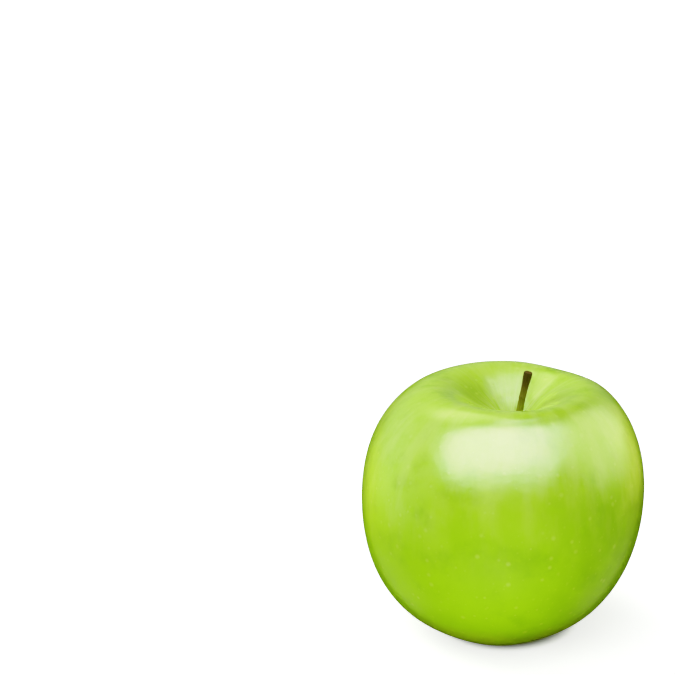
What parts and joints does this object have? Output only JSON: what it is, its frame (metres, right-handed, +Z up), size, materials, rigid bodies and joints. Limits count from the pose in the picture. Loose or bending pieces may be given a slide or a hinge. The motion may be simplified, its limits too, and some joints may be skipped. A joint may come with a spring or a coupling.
{
  "type": "whole green apple",
  "caption": "A whole green apple with a dished stem cavity, a short woody stem and a dried calyx in the basin beneath; it stands on its own lobed base.",
  "frame": {"origin": "on the surface that the fruit stands on, under the middle of its bounding box", "axes": "+Z up from the base to the stem; -Y is the side that the picture shows; +X is the side that the stem leans to, which is the picture's right"},
  "size_m": [0.0772, 0.079, 0.0716],
  "materials": {
    "skin": "waxy green fruit skin with pale dots, satin gloss",
    "stem": "dry brown bark, darker at the cut tip",
    "calyx": "dry grey-brown withered sepals"
  },
  "bodies": {
    "root": {"apple_body": "skin", "apple_stem": "stem", "apple_calyx": "calyx"}
  },
  "joints": []
}
